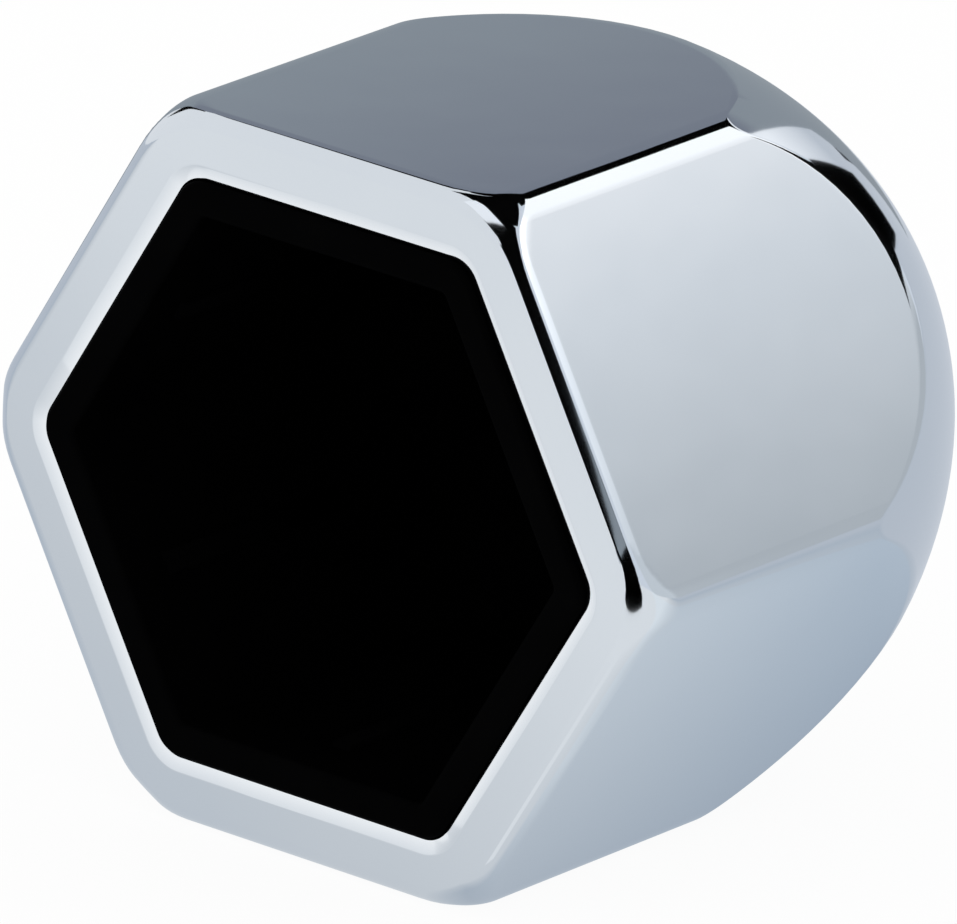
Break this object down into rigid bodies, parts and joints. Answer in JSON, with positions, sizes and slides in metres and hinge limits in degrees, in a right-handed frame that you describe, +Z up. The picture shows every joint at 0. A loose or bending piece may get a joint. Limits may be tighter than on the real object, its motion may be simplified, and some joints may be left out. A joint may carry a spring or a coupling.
{
  "type": "wheel nut cover cap",
  "caption": "Push-on cover cap for a hexagonal wheel nut: chrome-plated hexagonal shell with a domed closed end and a black grip liner in its mouth.",
  "frame": {"origin": "centre of the bottom of the bounding box: the cap lies on one of its six outer flats, with that flat at z = 0", "axes": "+Z up, +Y along the cap's axis from its open mouth towards the closed dome, +X along a corner-to-corner width of the hexagon"},
  "size_m": [0.0274, 0.026, 0.024],
  "materials": {
    "chrome_plating": "polished",
    "black_liner": "matte"
  },
  "bodies": {
    "root": {"chrome_shell": "chrome_plating", "grip_liner": "black_liner"}
  },
  "joints": []
}
